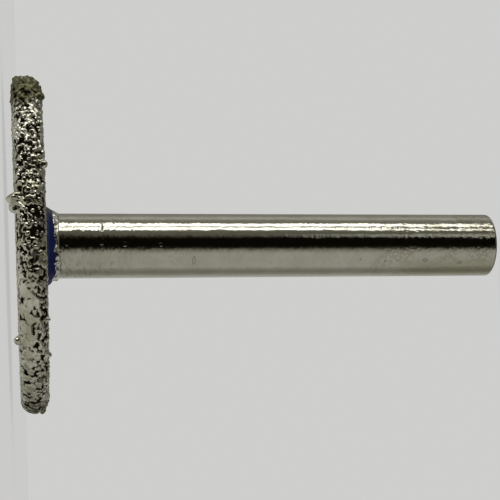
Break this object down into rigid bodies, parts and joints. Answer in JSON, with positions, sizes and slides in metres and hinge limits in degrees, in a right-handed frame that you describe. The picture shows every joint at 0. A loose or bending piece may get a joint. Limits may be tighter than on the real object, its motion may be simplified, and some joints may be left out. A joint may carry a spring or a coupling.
{
  "type": "electroplated diamond grinding bit",
  "caption": "Round-rimmed grinding disc coated in nickel-bonded diamond grit, brazed across the end of a plain polished shank.",
  "frame": {"origin": "where the shank's axis meets the plated front face of the disc, which the bit stands on", "axes": "+Z along the shank's axis, from the disc towards the free end. The disc leans 1.5 degrees about Y, its low side at -X"},
  "size_m": [0.0305, 0.0306, 0.0459],
  "materials": {
    "shank": "turned steel, polished and nickel plated, with faint turning ripples",
    "blank": "turned steel, hidden under the plating",
    "braze": "bright uneven braze with small pits",
    "lacquer": "navy blue masking lacquer, brushed on",
    "plating": "nickel plating full of diamond grit, lumpy and glinting"
  },
  "bodies": {
    "root": {"shank": "shank", "disc_blank": "blank", "braze_fillet": "braze", "stop_off_lacquer": "lacquer", "diamond_plating": "plating"}
  },
  "joints": []
}
